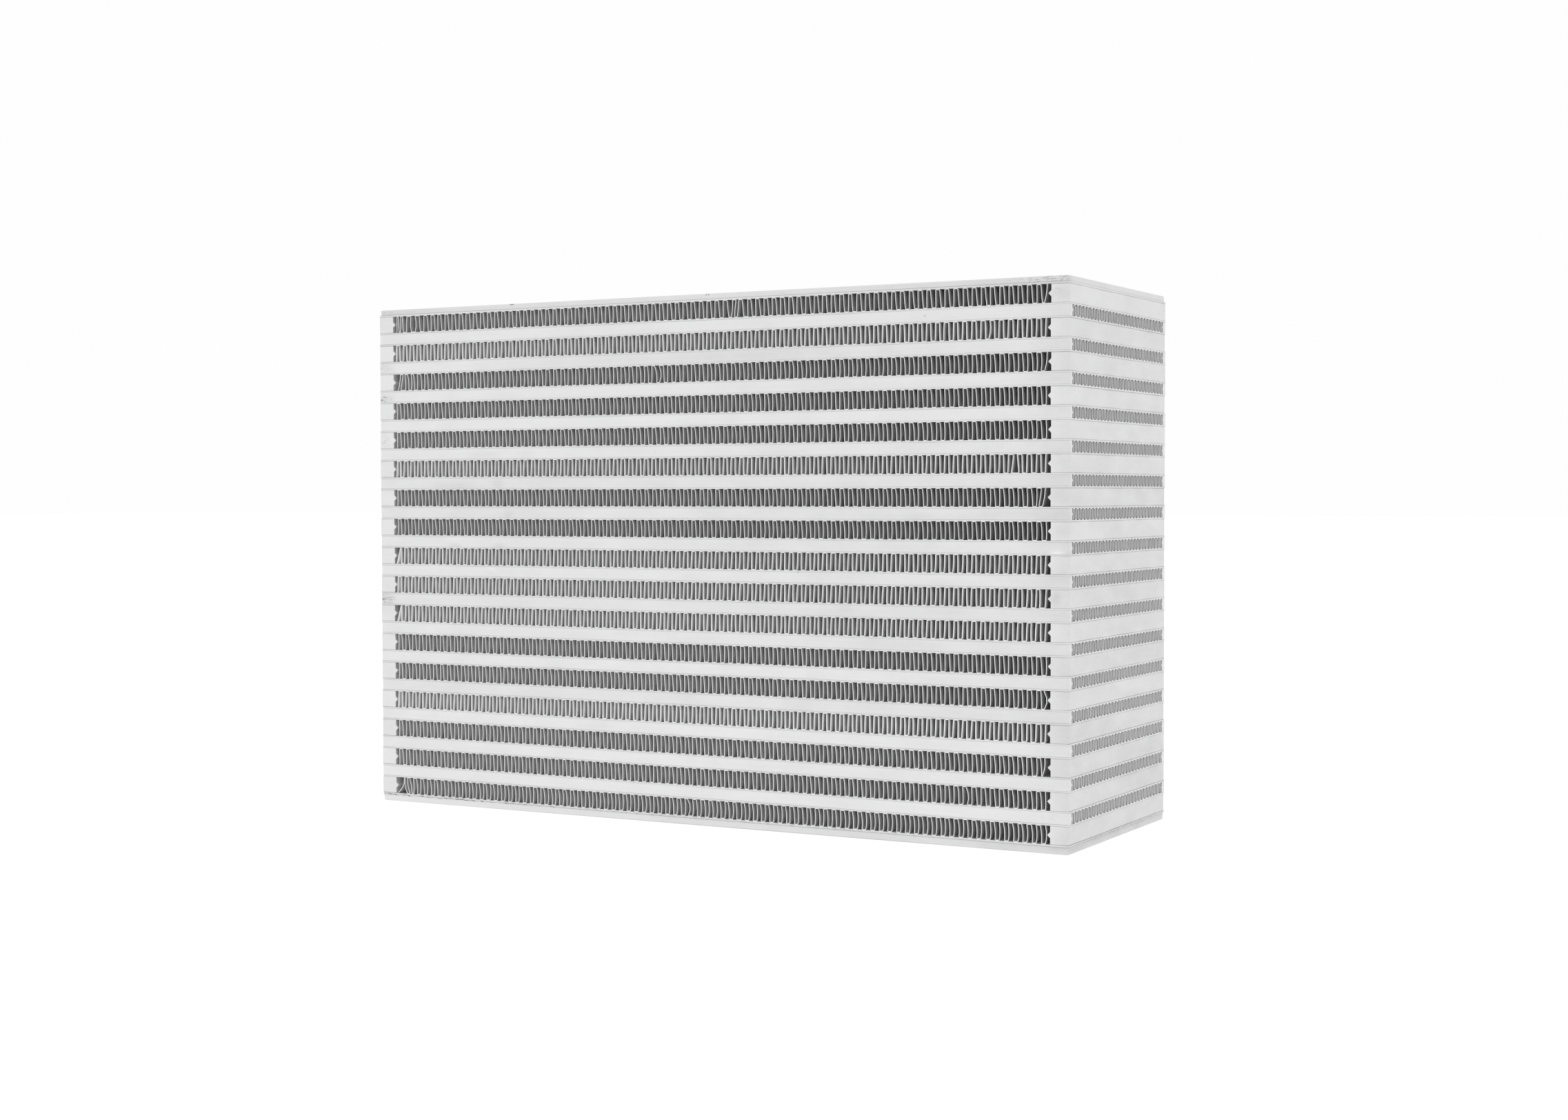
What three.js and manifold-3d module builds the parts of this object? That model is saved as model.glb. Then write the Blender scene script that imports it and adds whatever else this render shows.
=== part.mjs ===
// Core of an air-blast hydraulic oil cooler, in brazed bar-and-plate aluminium.
// Millimetres, +Z up. X runs with the oil, Y with the air. The origin is the centre of the underside.
//
// From the bottom up the core is a side plate, an outer sheet, then air and oil layers in turn, and an
// outer sheet and a side plate again. An oil layer is a flat channel: two parting sheets held apart by
// a bar along each long side, open at both ends. An air layer is held open by an end bar at each end.
// Each channel carries the two end bars that are brazed on top of it. A folded fin fills every layer.
//
// Every height and every shared face is a multiple of 0.125 mm, so that touching faces meet exactly.

import * as THREE from 'three';
import { mergeVertices } from 'three/addons/utils/BufferGeometryUtils.js';
import Module from 'manifold-3d';

const wasm = await Module();
wasm.setup();

// Driving dimensions
const CORE_WIDTH = 410;
const CORE_DEPTH = 135;
const OIL_LAYERS = 16;
const AIR_PASSAGE = 9;
const OIL_PASSAGE = 5.5;
const PARTING_SHEET = 0.75;
const OUTER_SHEET = 0.875;
const BOTTOM_PLATE = 3.625;
const TOP_PLATE = 2.875;
const PLATE_INSET = 0.5;
const PLATE_CORNER_RADIUS = 1.5;
const PLATE_CORNER_STEPS = 4;

// Bars: a rectangle with a V nose along the middle of its inner side, which keeps the fin off the bar
const END_BAR_WIDTH = 9.25;
const END_BAR_NOSE = 1.5;
const SIDE_BAR_WIDTH = 4;
const SIDE_BAR_NOSE = 1.25;
const NOSE_CLEARANCE = 0.25;

// Fins: every seventh fold of the air fin and every fifth of the oil fin, in a sheet as much thicker,
// so that each fin keeps its volume and mass
const FIN_SHEET = 0.625;
const FIN_RECESS = 0.5;
const AIR_FIN_LEGS = 24;
const OIL_FIN_LEGS = 12;
const AIR_FIN_LEAN = 1.5;
const OIL_FIN_LEAN = 1;

// Worked-out sizes
const AIR_LAYERS = OIL_LAYERS + 1;
const CHANNEL_HEIGHT = OIL_PASSAGE + 2 * PARTING_SHEET;
const LAYER_PITCH = CHANNEL_HEIGHT + AIR_PASSAGE;
const FIRST_AIR_LAYER = BOTTOM_PLATE + OUTER_SHEET;
const FIRST_CHANNEL = FIRST_AIR_LAYER + AIR_PASSAGE;
const TOP_SHEET_LEVEL = FIRST_AIR_LAYER + OIL_LAYERS * LAYER_PITCH + AIR_PASSAGE;
const TOP_PLATE_LEVEL = TOP_SHEET_LEVEL + OUTER_SHEET;
const AIR_FIN_SPAN = CORE_WIDTH - 2 * (END_BAR_WIDTH + END_BAR_NOSE + NOSE_CLEARANCE);
const OIL_FIN_SPAN = CORE_DEPTH - 2 * (SIDE_BAR_WIDTH + SIDE_BAR_NOSE + NOSE_CLEARANCE);

const millAluminium = new THREE.MeshStandardMaterial({ color: 0xdcdddd, roughness: 0.48, metalness: 0.9 });
const sawnAluminium = new THREE.MeshStandardMaterial({ color: 0xd3d4d4, roughness: 0.55, metalness: 0.9 });
const airFinStock = new THREE.MeshStandardMaterial({ color: 0xc8c9ca, roughness: 0.4, metalness: 0.9 });
const oilFinStock = new THREE.MeshStandardMaterial({ color: 0xb4b5b7, roughness: 0.45, metalness: 0.9 });

const X_AXIS = new THREE.Vector3(1, 0, 0);
const Y_AXIS = new THREE.Vector3(0, 1, 0);
const Z_AXIS = new THREE.Vector3(0, 0, 1);
const PROFILE_XZ_TO_Y = new THREE.Matrix4().makeBasis(X_AXIS, Z_AXIS, Y_AXIS.clone().negate());
const PROFILE_YZ_TO_X = new THREE.Matrix4().makeBasis(Y_AXIS, Z_AXIS, X_AXIS);

function extrude(shape, length) {
  return new THREE.ExtrudeGeometry(shape, { depth: length, bevelEnabled: false });
}

// A profile drawn in X and Z, run along Y and centred on it
function extrudeAlongY(shape, length) {
  return extrude(shape, length).applyMatrix4(PROFILE_XZ_TO_Y).translate(0, length / 2, 0);
}

// A profile drawn in Y and Z, run along X and centred on it
function extrudeAlongX(shape, length) {
  return extrude(shape, length).applyMatrix4(PROFILE_YZ_TO_X).translate(-length / 2, 0, 0);
}

function outline(points) {
  return new THREE.Shape(points.map(([x, y]) => new THREE.Vector2(x, y)));
}

function toSolid(geometry) {
  const bare = geometry.clone();
  bare.deleteAttribute('normal');
  bare.deleteAttribute('uv');
  const merged = mergeVertices(bare, 1e-5);
  const vertProperties = new Float32Array(merged.attributes.position.array);
  const triVerts = new Uint32Array(merged.index.array);
  return new wasm.Manifold(new wasm.Mesh({ numProp: 3, vertProperties, triVerts }));
}

function toGeometry(solid) {
  const mesh = solid.getMesh();
  const geometry = new THREE.BufferGeometry();
  geometry.setAttribute('position', new THREE.BufferAttribute(mesh.vertProperties, 3));
  geometry.setIndex(new THREE.BufferAttribute(mesh.triVerts, 1));
  geometry.computeVertexNormals();
  return geometry;
}

function braze(geometries) {
  return toGeometry(geometries.map(toSolid).reduce((joined, solid) => joined.add(solid)));
}

// Sheets and plates

function sheet(thickness, level) {
  return new THREE.BoxGeometry(CORE_WIDTH, CORE_DEPTH, thickness).translate(0, 0, level + thickness / 2);
}

function sidePlate(thickness) {
  const halfWidth = CORE_WIDTH / 2 - PLATE_INSET;
  const halfDepth = CORE_DEPTH / 2 - PLATE_INSET;
  const centreX = halfWidth - PLATE_CORNER_RADIUS;
  const centreY = halfDepth - PLATE_CORNER_RADIUS;
  const shape = new THREE.Shape();
  shape.absarc(centreX, centreY, PLATE_CORNER_RADIUS, 0, Math.PI / 2);
  shape.absarc(-centreX, centreY, PLATE_CORNER_RADIUS, Math.PI / 2, Math.PI);
  shape.absarc(-centreX, -centreY, PLATE_CORNER_RADIUS, Math.PI, 1.5 * Math.PI);
  shape.absarc(centreX, -centreY, PLATE_CORNER_RADIUS, 1.5 * Math.PI, 2 * Math.PI);
  const steps = PLATE_CORNER_STEPS;
  return new THREE.ExtrudeGeometry(shape, { depth: thickness, bevelEnabled: false, curveSegments: steps });
}

// Bars

// Profile of a bar whose outer side is at outer and whose nose points towards zero
function nosedBar(outer, width, nose, height) {
  const side = Math.sign(outer);
  const inner = outer - side * width;
  const middle = height / 2;
  const points = [
    [outer, 0],
    [outer, height],
    [inner, height],
    [inner, middle + nose],
    [inner - side * nose, middle],
    [inner, middle - nose],
    [inner, 0],
  ];
  return outline(points);
}

function endBar(side, level) {
  const profile = nosedBar(side * CORE_WIDTH / 2, END_BAR_WIDTH, END_BAR_NOSE, AIR_PASSAGE);
  return extrudeAlongY(profile, CORE_DEPTH).translate(0, 0, level);
}

function sideBar(side, level) {
  const profile = nosedBar(side * CORE_DEPTH / 2, SIDE_BAR_WIDTH, SIDE_BAR_NOSE, OIL_PASSAGE);
  return extrudeAlongX(profile, CORE_WIDTH).translate(0, 0, level);
}

// One oil channel with the two air-layer end bars that stand on it
function oilChannel() {
  const upperSheet = PARTING_SHEET + OIL_PASSAGE;
  return braze([
    sheet(PARTING_SHEET, 0),
    sideBar(-1, PARTING_SHEET),
    sideBar(1, PARTING_SHEET),
    sheet(PARTING_SHEET, upperSheet),
    endBar(-1, CHANNEL_HEIGHT),
    endBar(1, CHANNEL_HEIGHT),
  ]);
}

// Fins

// Section of a strip folded into legs, which lean so that each fold is a little narrower than its
// mouth. The strip's folds lie flat on the sheets below and above it.
function foldedStrip(span, height, legs, lean) {
  const upperSide = [];
  const lowerSide = [];
  const legSpan = span - lean - FIN_SHEET;
  for (let i = 0; i < legs; i += 1) {
    const rise = i % 2 === 0 ? 1 : -1;
    const centre = (i / (legs - 1) - 0.5) * legSpan;
    const legAt = (z) => centre + rise * lean * (z / height - 0.5);
    const freeEnd = i === 0 || i === legs - 1;
    const foot = freeEnd ? 0 : FIN_SHEET;
    const offset = rise * FIN_SHEET / 2;
    const upperLeg = [[legAt(foot) - offset, foot], [legAt(height) - offset, height]];
    const lowerLeg = [[legAt(0) + offset, 0], [legAt(height - FIN_SHEET) + offset, height - FIN_SHEET]];
    if (rise < 0) {
      upperLeg.reverse();
      lowerLeg.reverse();
    }
    upperSide.push(...upperLeg);
    lowerSide.push(...lowerLeg);
  }
  return outline([...lowerSide, ...upperSide.reverse()]);
}

function airFin() {
  const profile = foldedStrip(AIR_FIN_SPAN, AIR_PASSAGE, AIR_FIN_LEGS, AIR_FIN_LEAN);
  return extrudeAlongY(profile, CORE_DEPTH - 2 * FIN_RECESS);
}

function oilFin() {
  const profile = foldedStrip(OIL_FIN_SPAN, OIL_PASSAGE, OIL_FIN_LEGS, OIL_FIN_LEAN);
  return extrudeAlongX(profile, CORE_WIDTH - 2 * FIN_RECESS);
}

// Assembly

const core = new THREE.Group();

function place(name, geometry, material, level) {
  const mesh = new THREE.Mesh(geometry, material);
  mesh.name = name;
  mesh.position.z = level;
  core.add(mesh);
}

function numbered(name, index) {
  return `${name}_${String(index + 1).padStart(2, '0')}`;
}

function addEnds() {
  place('side_plate_bottom', sidePlate(BOTTOM_PLATE), sawnAluminium, 0);
  place('outer_sheet_bottom', sheet(OUTER_SHEET, 0), millAluminium, BOTTOM_PLATE);
  place('air_end_bar_left', endBar(-1, 0), millAluminium, FIRST_AIR_LAYER);
  place('air_end_bar_right', endBar(1, 0), millAluminium, FIRST_AIR_LAYER);
  place('outer_sheet_top', sheet(OUTER_SHEET, 0), millAluminium, TOP_SHEET_LEVEL);
  place('side_plate_top', sidePlate(TOP_PLATE), sawnAluminium, TOP_PLATE_LEVEL);
}

function addOilLayers() {
  const channel = oilChannel();
  const fin = oilFin();
  for (let i = 0; i < OIL_LAYERS; i += 1) {
    const level = FIRST_CHANNEL + i * LAYER_PITCH;
    place(numbered('oil_channel', i), channel, millAluminium, level);
    place(numbered('oil_fin', i), fin, oilFinStock, level + PARTING_SHEET);
  }
}

function addAirFins() {
  const fin = airFin();
  for (let i = 0; i < AIR_LAYERS; i += 1) {
    place(numbered('air_fin', i), fin, airFinStock, FIRST_AIR_LAYER + i * LAYER_PITCH);
  }
}

addEnds();
addOilLayers();
addAirFins();

export default core;
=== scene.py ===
"""Looks of the bare bar-and-plate core of a hydraulic oil cooler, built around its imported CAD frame.

Every real piece of the core is a piece of its own here: the two side plates, the outer and parting sheets,
the end bars of the air layers, the side bars of the oil layers, and one folded fin in every layer.
X runs with the oil and Y with the air. Lengths are in metres; MM turns millimetres into metres.
"""
import math

import bpy
import numpy as np
from mathutils import Matrix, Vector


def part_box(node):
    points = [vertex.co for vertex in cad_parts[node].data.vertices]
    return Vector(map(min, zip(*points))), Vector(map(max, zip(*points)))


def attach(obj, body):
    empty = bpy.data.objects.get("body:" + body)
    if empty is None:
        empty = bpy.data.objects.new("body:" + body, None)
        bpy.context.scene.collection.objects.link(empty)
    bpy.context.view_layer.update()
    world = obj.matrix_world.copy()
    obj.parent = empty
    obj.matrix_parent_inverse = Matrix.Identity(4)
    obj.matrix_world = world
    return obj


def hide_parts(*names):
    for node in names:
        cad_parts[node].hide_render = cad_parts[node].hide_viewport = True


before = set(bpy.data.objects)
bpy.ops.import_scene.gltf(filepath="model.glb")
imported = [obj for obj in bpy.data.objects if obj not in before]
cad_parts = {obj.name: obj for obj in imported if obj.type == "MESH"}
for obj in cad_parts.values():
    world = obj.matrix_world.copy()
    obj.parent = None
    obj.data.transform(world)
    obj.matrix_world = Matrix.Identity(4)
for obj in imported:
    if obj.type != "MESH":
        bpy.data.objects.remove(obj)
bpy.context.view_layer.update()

MM = 0.001
OIL_LAYERS = sum(name.startswith("oil_channel_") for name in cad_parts)
AIR_LAYERS = sum(name.startswith("air_fin_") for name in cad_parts)

# Shared outline of the core, from the frame
CORE_LOW, CORE_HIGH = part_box("outer_sheet_bottom")
LEFT, RIGHT = CORE_LOW.x, CORE_HIGH.x
FRONT, BACK = CORE_LOW.y, CORE_HIGH.y

# Levels of the layers, from the frame
AIR_LOW, AIR_HIGH = (corner.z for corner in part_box("air_fin_01"))
AIR_PASSAGE = AIR_HIGH - AIR_LOW
AIR_MIDDLE = (AIR_LOW + AIR_HIGH) / 2
LAYER_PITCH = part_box("air_fin_02")[0].z - AIR_LOW

# Bars
END_BAR_WIDTH = 9.25 * MM
END_BAR_NOSE = 1.5 * MM
SIDE_BAR_WIDTH = 3.5 * MM
SIDE_BAR_NOSE = 1.0 * MM

# How far bars and sheets stop short of the core's outline, least and most, in millimetres. Setbacks are at
# their outer long sides, for the end bars on the left, -1, and on the right, 1. Insets are at their ends,
# first the left one and then the right one where the two differ
END_BAR_SETBACKS = {-1: (0.0, 0.25), 1: (0.1, 0.4)}
END_BAR_INSET = (0.05, 0.3)
SIDE_BAR_SETBACK = (0.0, 0.15)
SIDE_BAR_INSETS = ((0.2, 0.6), (0.0, 0.12))
SHEET_SETBACK = (0.0, 0.06)
SHEET_INSETS = ((0.2, 0.5), (0.05, 0.2))

# How far their long sides wander, and over what length
END_BAR_WANDER = (0.08 * MM, 40 * MM)
SIDE_BAR_WANDER = (0.1 * MM, 60 * MM)
SHEET_WANDER = (0.12 * MM, 35 * MM)

# Softened edges: their size, and the share of it at the one step between their two sides
BAR_EDGE = 0.16 * MM
SHEET_EDGE = 0.08 * MM
PLATE_EDGE = 0.3 * MM
PART_WAY = 0.3

# Mesh detail: the distance between stations along a bar, the steps round a plate's corner, and the turns in
# degrees above which an edge is shaded sharp
STATION = 8 * MM
PLATE_CORNER_STEPS = 5
SOFT_CREASE = 16.0
FOLD_CREASE = 50.0

# Folded fins. The margins are from the sides of the CAD fin to the first and last legs. The pitches are aims,
# which the whole number of legs changes a little. An oil fin leans by up to OIL_FIN_LEAN either way
AIR_FIN_SHEET = 0.25 * MM
OIL_FIN_SHEET = 0.34 * MM
AIR_LEG_PITCH = 2.37 * MM
OIL_LEG_PITCH = 2.2 * MM
AIR_FIN_MARGIN = 0.9 * MM
OIL_FIN_MARGIN = 0.1 * MM
OIL_FIN_LEAN = 0.1 * MM
OIL_FIN_SPREAD = 0.12 * MM
FOLD_RADIUS = 0.3 * MM
FIN_RECESS = 0.2 * MM

# Cut edges of the fins: how deep the bare edge is, how deep the bare lip is instead where it is turned aside,
# the step from either to the third of the near depths, and how many times further the lip is turned at the
# first leg than at the last
CUT_EDGE = 0.1 * MM
AIR_LIP = 0.85 * MM
NEAR_STEP = 0.3 * MM
AIR_LIP_GROWTH = 1.2

# Zigzag of the fins along their run: its length and half its width, how far it stays from the noses of the
# bars on the left or at the front, and the share that it may use of the room up to there
AIR_WAVE = 16.0 * MM
AIR_WAVE_REACH = 0.85 * MM
OIL_WAVE = 24.0 * MM
OIL_WAVE_REACH = 0.5 * MM
NOSE_CLEARANCE = 0.4 * MM
ROOM_USED = 0.7

# Air layers from the bottom up: how far the cut edges of the fin are turned towards the left, then the lean,
# the bow and the spread of its legs, in millimetres
AIR_FIN_TRAITS = {
    1: (0.0, -0.25, 0.30, 0.22),
    2: (0.0, -0.35, 0.10, 0.22),
    3: (0.0, -0.35, 0.12, 0.22),
    4: (0.37, 0.15, 0.0, 0.15),
    5: (0.0, -0.28, 0.12, 0.22),
    6: (0.0, -0.25, 0.06, 0.22),
    7: (0.37, 0.22, 0.0, 0.16),
    8: (0.38, 0.22, 0.0, 0.16),
    9: (0.37, 0.20, 0.0, 0.17),
    10: (0.0, -0.35, 0.14, 0.22),
    11: (0.0, -0.35, 0.14, 0.22),
    12: (0.36, 0.12, 0.0, 0.18),
    13: (0.0, -0.35, 0.14, 0.22),
    14: (0.0, -0.32, 0.12, 0.22),
    15: (0.0, -0.30, 0.16, 0.22),
    16: (0.36, 0.02, 0.0, 0.2),
    17: (0.0, -0.35, 0.0, 0.33),
}

# Bent legs of the air fins, by layer: the leg, counted from the left or back from the right, and how far
# its foot, middle and head are pushed to the right, in millimetres
BENT_LEGS = {
    1: [
        (0, -0.9, 2.2, 3.2),
        (1, 2.4, 0.9, 1.6),
        (2, 2.2, 0.6, 0.6),
        (3, 1.0, 0.6, 0.2),
        (79, -0.2, 0.7, -0.2),
    ],
    2: [(-18, -0.2, 0.4, -0.3)],
    3: [(-1, -1.7, -0.6, -0.4)],
    5: [(-1, -0.6, 0.35, -0.9)],
    6: [(16, 0.2, 0.2, 0.2), (17, -0.1, 0.0, -0.1), (18, -0.3, -0.3, -0.3), (19, 0.1, 0.2, 0.0)],
    7: [(0, 2.0, 2.0, 2.0)],
    8: [(-2, -0.6, -0.6, -0.6), (-1, 0.2, 0.2, 0.2)],
    9: [(0, 1.8, 1.8, 1.8)],
    11: [(-3, -0.2, 0.0, 0.2), (-2, -1.6, -0.7, 0.3), (-1, -1.9, -1.0, -0.3)],
    12: [(-8, -0.9, -0.3, 0.3), (-7, 0.8, 0.3, -0.2)],
    15: [
        (0, 0.9, 1.7, 2.5),
        (1, 0.1, 1.1, 2.2),
        (2, 1.2, 1.1, 1.0),
        (3, 0.8, 0.9, 0.6),
        (4, 0.4, 0.4, 0.3),
        (71, 0.2, 0.1, -0.5),
        (72, -0.2, 0.5, -0.4),
        (-2, -0.4, 0.0, 0.2),
        (-1, -0.8, 0.0, 0.4),
    ],
    16: [(-13, -0.3, 0.4, 0.0)],
    17: [
        (0, 0.3, 0.3, 0.3),
        (1, -0.9, -0.9, -0.9),
        (2, -2.1, -2.0, -2.1),
        (3, -2.9, -2.8, -2.7),
        (4, -2.6, -2.7, -2.3),
        (5, -1.9, -2.2, -1.5),
        (6, -1.2, -0.9, -1.4),
        (7, -0.6, -0.7, -0.6),
        (8, -0.2, -0.2, -0.2),
        (89, 0.7, 0.5, 0.4),
        (90, 0.15, 0.8, 0.85),
        (91, -0.85, -0.1, 0.85),
        (92, -1.3, -0.8, -0.4),
        (93, -0.35, -0.4, -0.5),
        (-1, -0.9, 0.0, 0.4),
    ],
}

# Layers whose first leg from the left is twisted at the front: how far the foot of its cut edge is pushed to
# the left, in millimetres, and the shares of that push at the near depths and from the foot to the head
FIRST_TWISTS = {7: 2.1, 9: 2.0}
TWIST_FADE = np.array([1.0, 0.8, 0.74])
TWIST_LEVELS = np.array([1.0, 1.0, 2 / 3, 1 / 3, 0.0, 0.0])

# Unevenness of the legs: how far each is out of place as a share of the pitch, the least and most of the
# spread that it has, the reach and length over which the lean wanders, and the same for the bow, which is
# also out by a little on each leg
LEG_JITTER = 0.03
SPREAD_SHARES = (0.6, 1.3)
LEAN_WANDER = (0.12 * MM, 25 * MM)
BOW_WANDER = (0.08 * MM, 18 * MM)
BOW_JITTER = 0.04 * MM

# Random seeds: that of a single piece, or the one from which the pieces of a kind are counted on
SEEDS = {
    "bottom_plate": 11,
    "top_plate": 12,
    "clad_sheet_bottom": 13,
    "clad_sheet_top": 14,
    "lowest_end_bar": 20,
    "parting_sheet_lower": 100,
    "parting_sheet_upper": 150,
    "oil_bar_front": 200,
    "oil_bar_back": 250,
    "end_bar_left": 300,
    "end_bar_right": 350,
    "air_fin": 500,
    "oil_fin": 700,
}


def numbered(name, index):
    return f"{name}_{index:02d}"


# Mesh building

def make_piece(name, points, faces, material, nodes, crease=SOFT_CREASE):
    """A mesh piece that rides on the core and stands for the CAD nodes. faces is a list of index arrays,
    each of one face size. Edges that turn by more than crease, in degrees, are shaded sharp."""
    mesh = bpy.data.meshes.new(name)
    corners = np.concatenate([np.asarray(f).ravel() for f in faces]).astype(np.int32)
    counts = np.concatenate([np.full(len(f), np.asarray(f).shape[1]) for f in faces])
    starts = np.concatenate([[0], np.cumsum(counts)[:-1]]).astype(np.int32)
    mesh.vertices.add(len(points))
    mesh.vertices.foreach_set("co", np.asarray(points, np.float32).ravel())
    mesh.loops.add(len(corners))
    mesh.loops.foreach_set("vertex_index", corners)
    mesh.polygons.add(len(starts))
    mesh.polygons.foreach_set("loop_start", starts)
    mesh.polygons.foreach_set("use_smooth", np.ones(len(starts), bool))
    mesh.update(calc_edges=True)
    mesh.validate()
    mesh.set_sharp_from_angle(angle=math.radians(crease))
    mesh.materials.append(material)
    piece = bpy.data.objects.new(name, mesh)
    bpy.context.scene.collection.objects.link(piece)
    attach(piece, "root")
    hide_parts(*nodes)
    return piece


def rounded(corners, radius, steps=2):
    """The polygon with an arc of the given radius in place of each corner."""
    points = []
    count = len(corners)
    for i in range(count):
        here = np.array(corners[i], float)
        before = np.array(corners[i - 1], float) - here
        after = np.array(corners[(i + 1) % count], float) - here
        before /= np.linalg.norm(before)
        after /= np.linalg.norm(after)
        half = math.acos(max(-1.0, min(1.0, float(before @ after)))) / 2
        reach = radius / math.tan(half)
        start, end = here + before * reach, here + after * reach
        bisector = (before + after) / np.linalg.norm(before + after)
        centre = here + bisector * radius / math.sin(half)
        for k in range(steps + 1):
            mix = k / steps
            spoke = (start - centre) * (1 - mix) + (end - centre) * mix
            points.append(centre + spoke / np.linalg.norm(spoke) * radius)
    return np.array(points)


def loft_faces(stations, ring):
    """Quads between stations of one ring each, and an n-gon on either end."""
    row = np.arange(stations - 1)[:, None] * ring
    column = np.arange(ring)[None, :]
    following = (column + 1) % ring
    quads = np.stack([row + column, row + following, row + ring + following, row + ring + column], axis=-1)
    first = np.arange(ring)[None, ::-1]
    last = (stations - 1) * ring + np.arange(ring)[None, :]
    return [quads.reshape(-1, 4), first, last]


def loft_bar(profile, start, end, edge):
    """Stations of a bar's profile from start to end, whose ends are drawn in by edge. Returns an array of
    station, ring point and (first, second, along)."""
    middle = (profile.min(0) + profile.max(0)) / 2
    size = profile.max(0) - profile.min(0)
    inner = np.linspace(start + edge, end - edge, max(2, round((end - start) / STATION)))
    places = np.concatenate([[start, start + edge * PART_WAY], inner, [end - edge * PART_WAY, end]])
    shrink = np.zeros(len(places))
    shrink[[0, -1]] = edge
    shrink[[1, -2]] = edge * PART_WAY
    scale = 1 - 2 * shrink[:, None] / size[None, :]
    flat = middle + (profile - middle)[None, :, :] * scale[:, None, :]
    along = np.repeat(places[:, None, None], len(profile), axis=1)
    return np.concatenate([flat, along], axis=2)


def drift(rng, places, reach, length):
    """Smooth noise along places that stays within about reach and changes over about length."""
    knots = np.arange(places.min() - 2 * length, places.max() + 3 * length, length)
    values = rng.uniform(-reach, reach, len(knots))
    at = (places - knots[0]) / length
    low = np.floor(at).astype(int)
    mix = at - low
    mix = mix * mix * (3 - 2 * mix)
    return values[low] * (1 - mix) + values[low + 1] * mix


# Materials

# Tint of the bare aluminium
TINT = (1.0, 1.0, 1.004)

# Half widths of the dark joints between layers, partly braze and partly painted shade of the groove: full up
# to the first, gone at the second
JOINT_CORE = 0.1 * MM
JOINT_FADE = 0.45 * MM

# Shares of the radius within which a smudge, painted light or shade, and a speck are at full strength
SMUDGE_AND_PAINTED_LIGHT_CORE = 0.2
SPECK_CORE = 0.6

# Dark specks: the spacing of their cells, their radius as a share of it, the share of cells that have one,
# and how much darker they are
SPECK_SPACING = 7 * MM
SPECK_SIZE = 0.035
SPECK_SHARE = 0.12
SPECK_DEPTH = 0.22


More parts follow.
